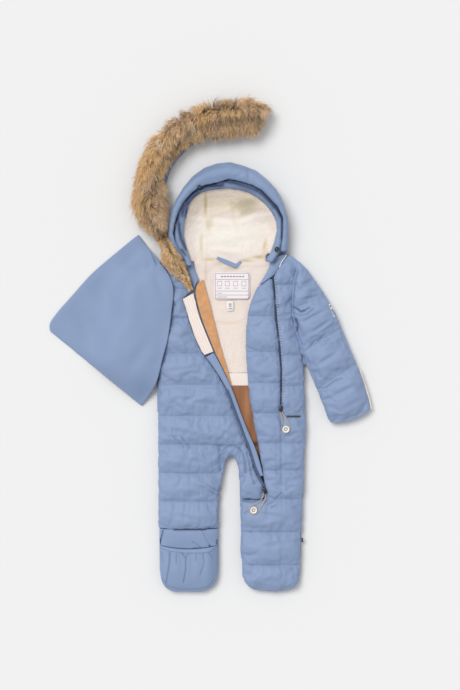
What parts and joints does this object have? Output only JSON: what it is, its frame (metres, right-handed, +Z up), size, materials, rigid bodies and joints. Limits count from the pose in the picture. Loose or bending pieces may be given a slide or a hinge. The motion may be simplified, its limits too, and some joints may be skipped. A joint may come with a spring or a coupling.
{
  "type": "toddler snowsuit",
  "caption": "Padded toddler snowsuit in soft blue with cream fleece lining, laid flat and unzipped, hood fur trim partly unsnapped and a matching neck panel spread beside it.",
  "frame": {"origin": "middle of the footprint, on the surface the suit lies on", "axes": "+Z up out of the suit's open front, +Y from the feet towards the hood, +X to the right as seen from above"},
  "size_m": [0.7088, 1.0772, 0.062],
  "materials": {
    "shell_cloth": "matte woven shell, quilted over padding",
    "fleece": "cream looped fleece",
    "rib_knit": "cream ribbed knit",
    "velour": "tan short-pile velour",
    "fur": "long tan imitation fur with dark tips",
    "label_cloth": "smooth woven label",
    "zip_coil": "dark zip coil",
    "dark_metal": "dark metal",
    "cord": "beige twisted cord",
    "charm": "off-white gloss"
  },
  "bodies": {
    "root": {"back_torso": "shell_cloth", "back_leg_left": "shell_cloth", "back_leg_right": "shell_cloth", "front_left": "shell_cloth", "front_leg_left": "shell_cloth", "front_centre": "shell_cloth", "front_right": "shell_cloth", "front_left_tail": "shell_cloth", "front_leg_right": "shell_cloth", "sleeve_right_front": "shell_cloth", "sleeve_right_back": "shell_cloth", "sleeve_left": "shell_cloth", "crotch_gusset": "shell_cloth", "bootie_flap_left": "shell_cloth", "bootie_pocket_left": "shell_cloth", "placket_strip": "shell_cloth", "hood_back": "shell_cloth", "hood_brim": "shell_cloth", "hood_band": "shell_cloth", "collar_left": "shell_cloth", "collar_right": "shell_cloth", "neck_panel": "shell_cloth", "fur_tape": "shell_cloth", "hanger_loop": "shell_cloth", "lining_yoke": "fleece", "lining_chest": "fleece", "hood_lining_side": "fleece", "hood_lining_back": "fleece", "lining_band": "rib_knit", "placket_patch": "rib_knit", "sleeve_edge": "rib_knit", "facing_left": "velour", "lining_lower": "velour", "fur_trim": "fur", "label": "label_cloth", "size_tag": "label_cloth", "sleeve_patch": "label_cloth", "zip_side": "zip_coil", "zip_front": "zip_coil", "pocket_welt": "zip_coil", "side_tab": "zip_coil", "slider_side": "dark_metal", "slider_front": "dark_metal", "hood_snap_left": "dark_metal", "hood_snap_right": "dark_metal", "tape_snap_top": "dark_metal", "tape_snap_low": "dark_metal", "pull_cord_side": "cord", "pull_cord_front": "cord", "charm_side": "charm", "charm_front": "charm"}
  },
  "joints": []
}
